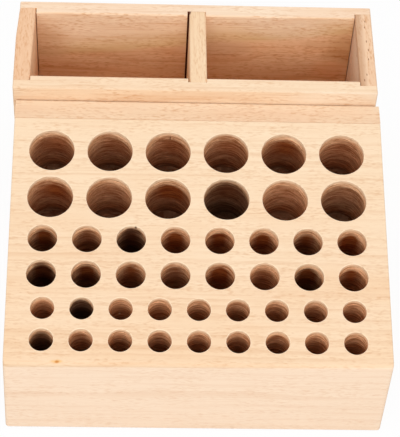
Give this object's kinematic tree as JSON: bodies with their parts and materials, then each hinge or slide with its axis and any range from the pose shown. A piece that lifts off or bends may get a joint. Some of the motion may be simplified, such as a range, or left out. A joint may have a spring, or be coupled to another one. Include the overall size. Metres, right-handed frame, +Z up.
{
  "type": "tool rack",
  "caption": "Wooden tool rack: a sloped beech block with rows of round blind holes, large at the back and small at the front, and an open divided box behind it.",
  "frame": {"origin": "on the underside, at the middle of the rack's width and depth", "axes": "+X to the right and -Y to the front as the user faces the holes, +Z up"},
  "size_m": [0.1612, 0.1766, 0.078],
  "materials": {
    "beech_block": "sanded, unfinished beech",
    "beech_strip": "sanded, unfinished beech, pinker",
    "beech_front": "sanded, unfinished beech",
    "beech_back": "sanded, unfinished beech, redder on its inner face",
    "beech_end": "sanded, unfinished beech with ray flecks",
    "beech_inner": "sanded, unfinished beech"
  },
  "bodies": {
    "root": {"hole_block": "beech_block", "ledge_strip": "beech_strip", "front_wall": "beech_front", "back_wall": "beech_back", "left_wall": "beech_end", "right_wall": "beech_end", "divider": "beech_inner", "floor_board": "beech_inner"}
  },
  "joints": []
}
